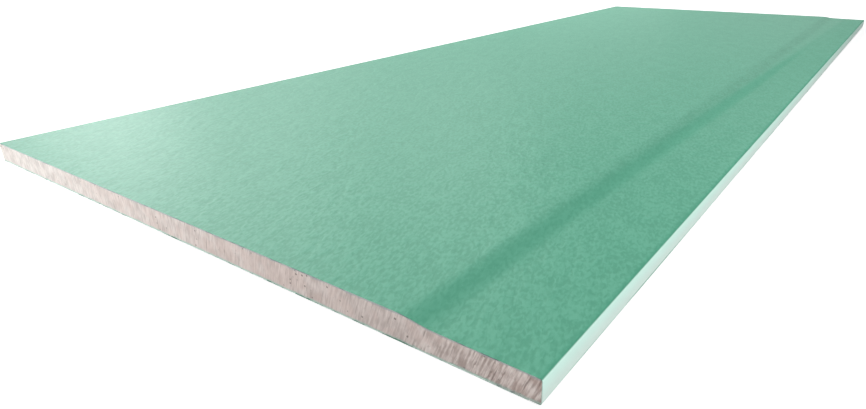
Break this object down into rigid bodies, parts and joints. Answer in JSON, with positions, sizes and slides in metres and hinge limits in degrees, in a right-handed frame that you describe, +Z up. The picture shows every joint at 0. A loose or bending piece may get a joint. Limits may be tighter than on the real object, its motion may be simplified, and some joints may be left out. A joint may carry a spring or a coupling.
{
  "type": "drywall sheet",
  "caption": "Moisture-resistant gypsum wallboard: a flat core between green paper liners, with one long edge tapered and bound in paper and the other edges cut.",
  "frame": {"origin": "centre of the underside, with the sheet lying flat on its back", "axes": "+Z up out of the green face, +Y along the length away from the near cut end, +X across the width to the tapered, paper-bound edge"},
  "size_m": [0.6, 1.5, 0.018],
  "materials": {
    "face_paper": "calendered green liner paper, faint fibre mottling, soft sheen",
    "gypsum_core": "matt sawn gypsum, pale pinkish beige, fine saw streaks and small pores",
    "back_paper": "matt green liner paper, slightly greyer than the face"
  },
  "bodies": {
    "root": {"face_paper": "face_paper", "gypsum_core": "gypsum_core", "back_paper": "back_paper"}
  },
  "joints": []
}
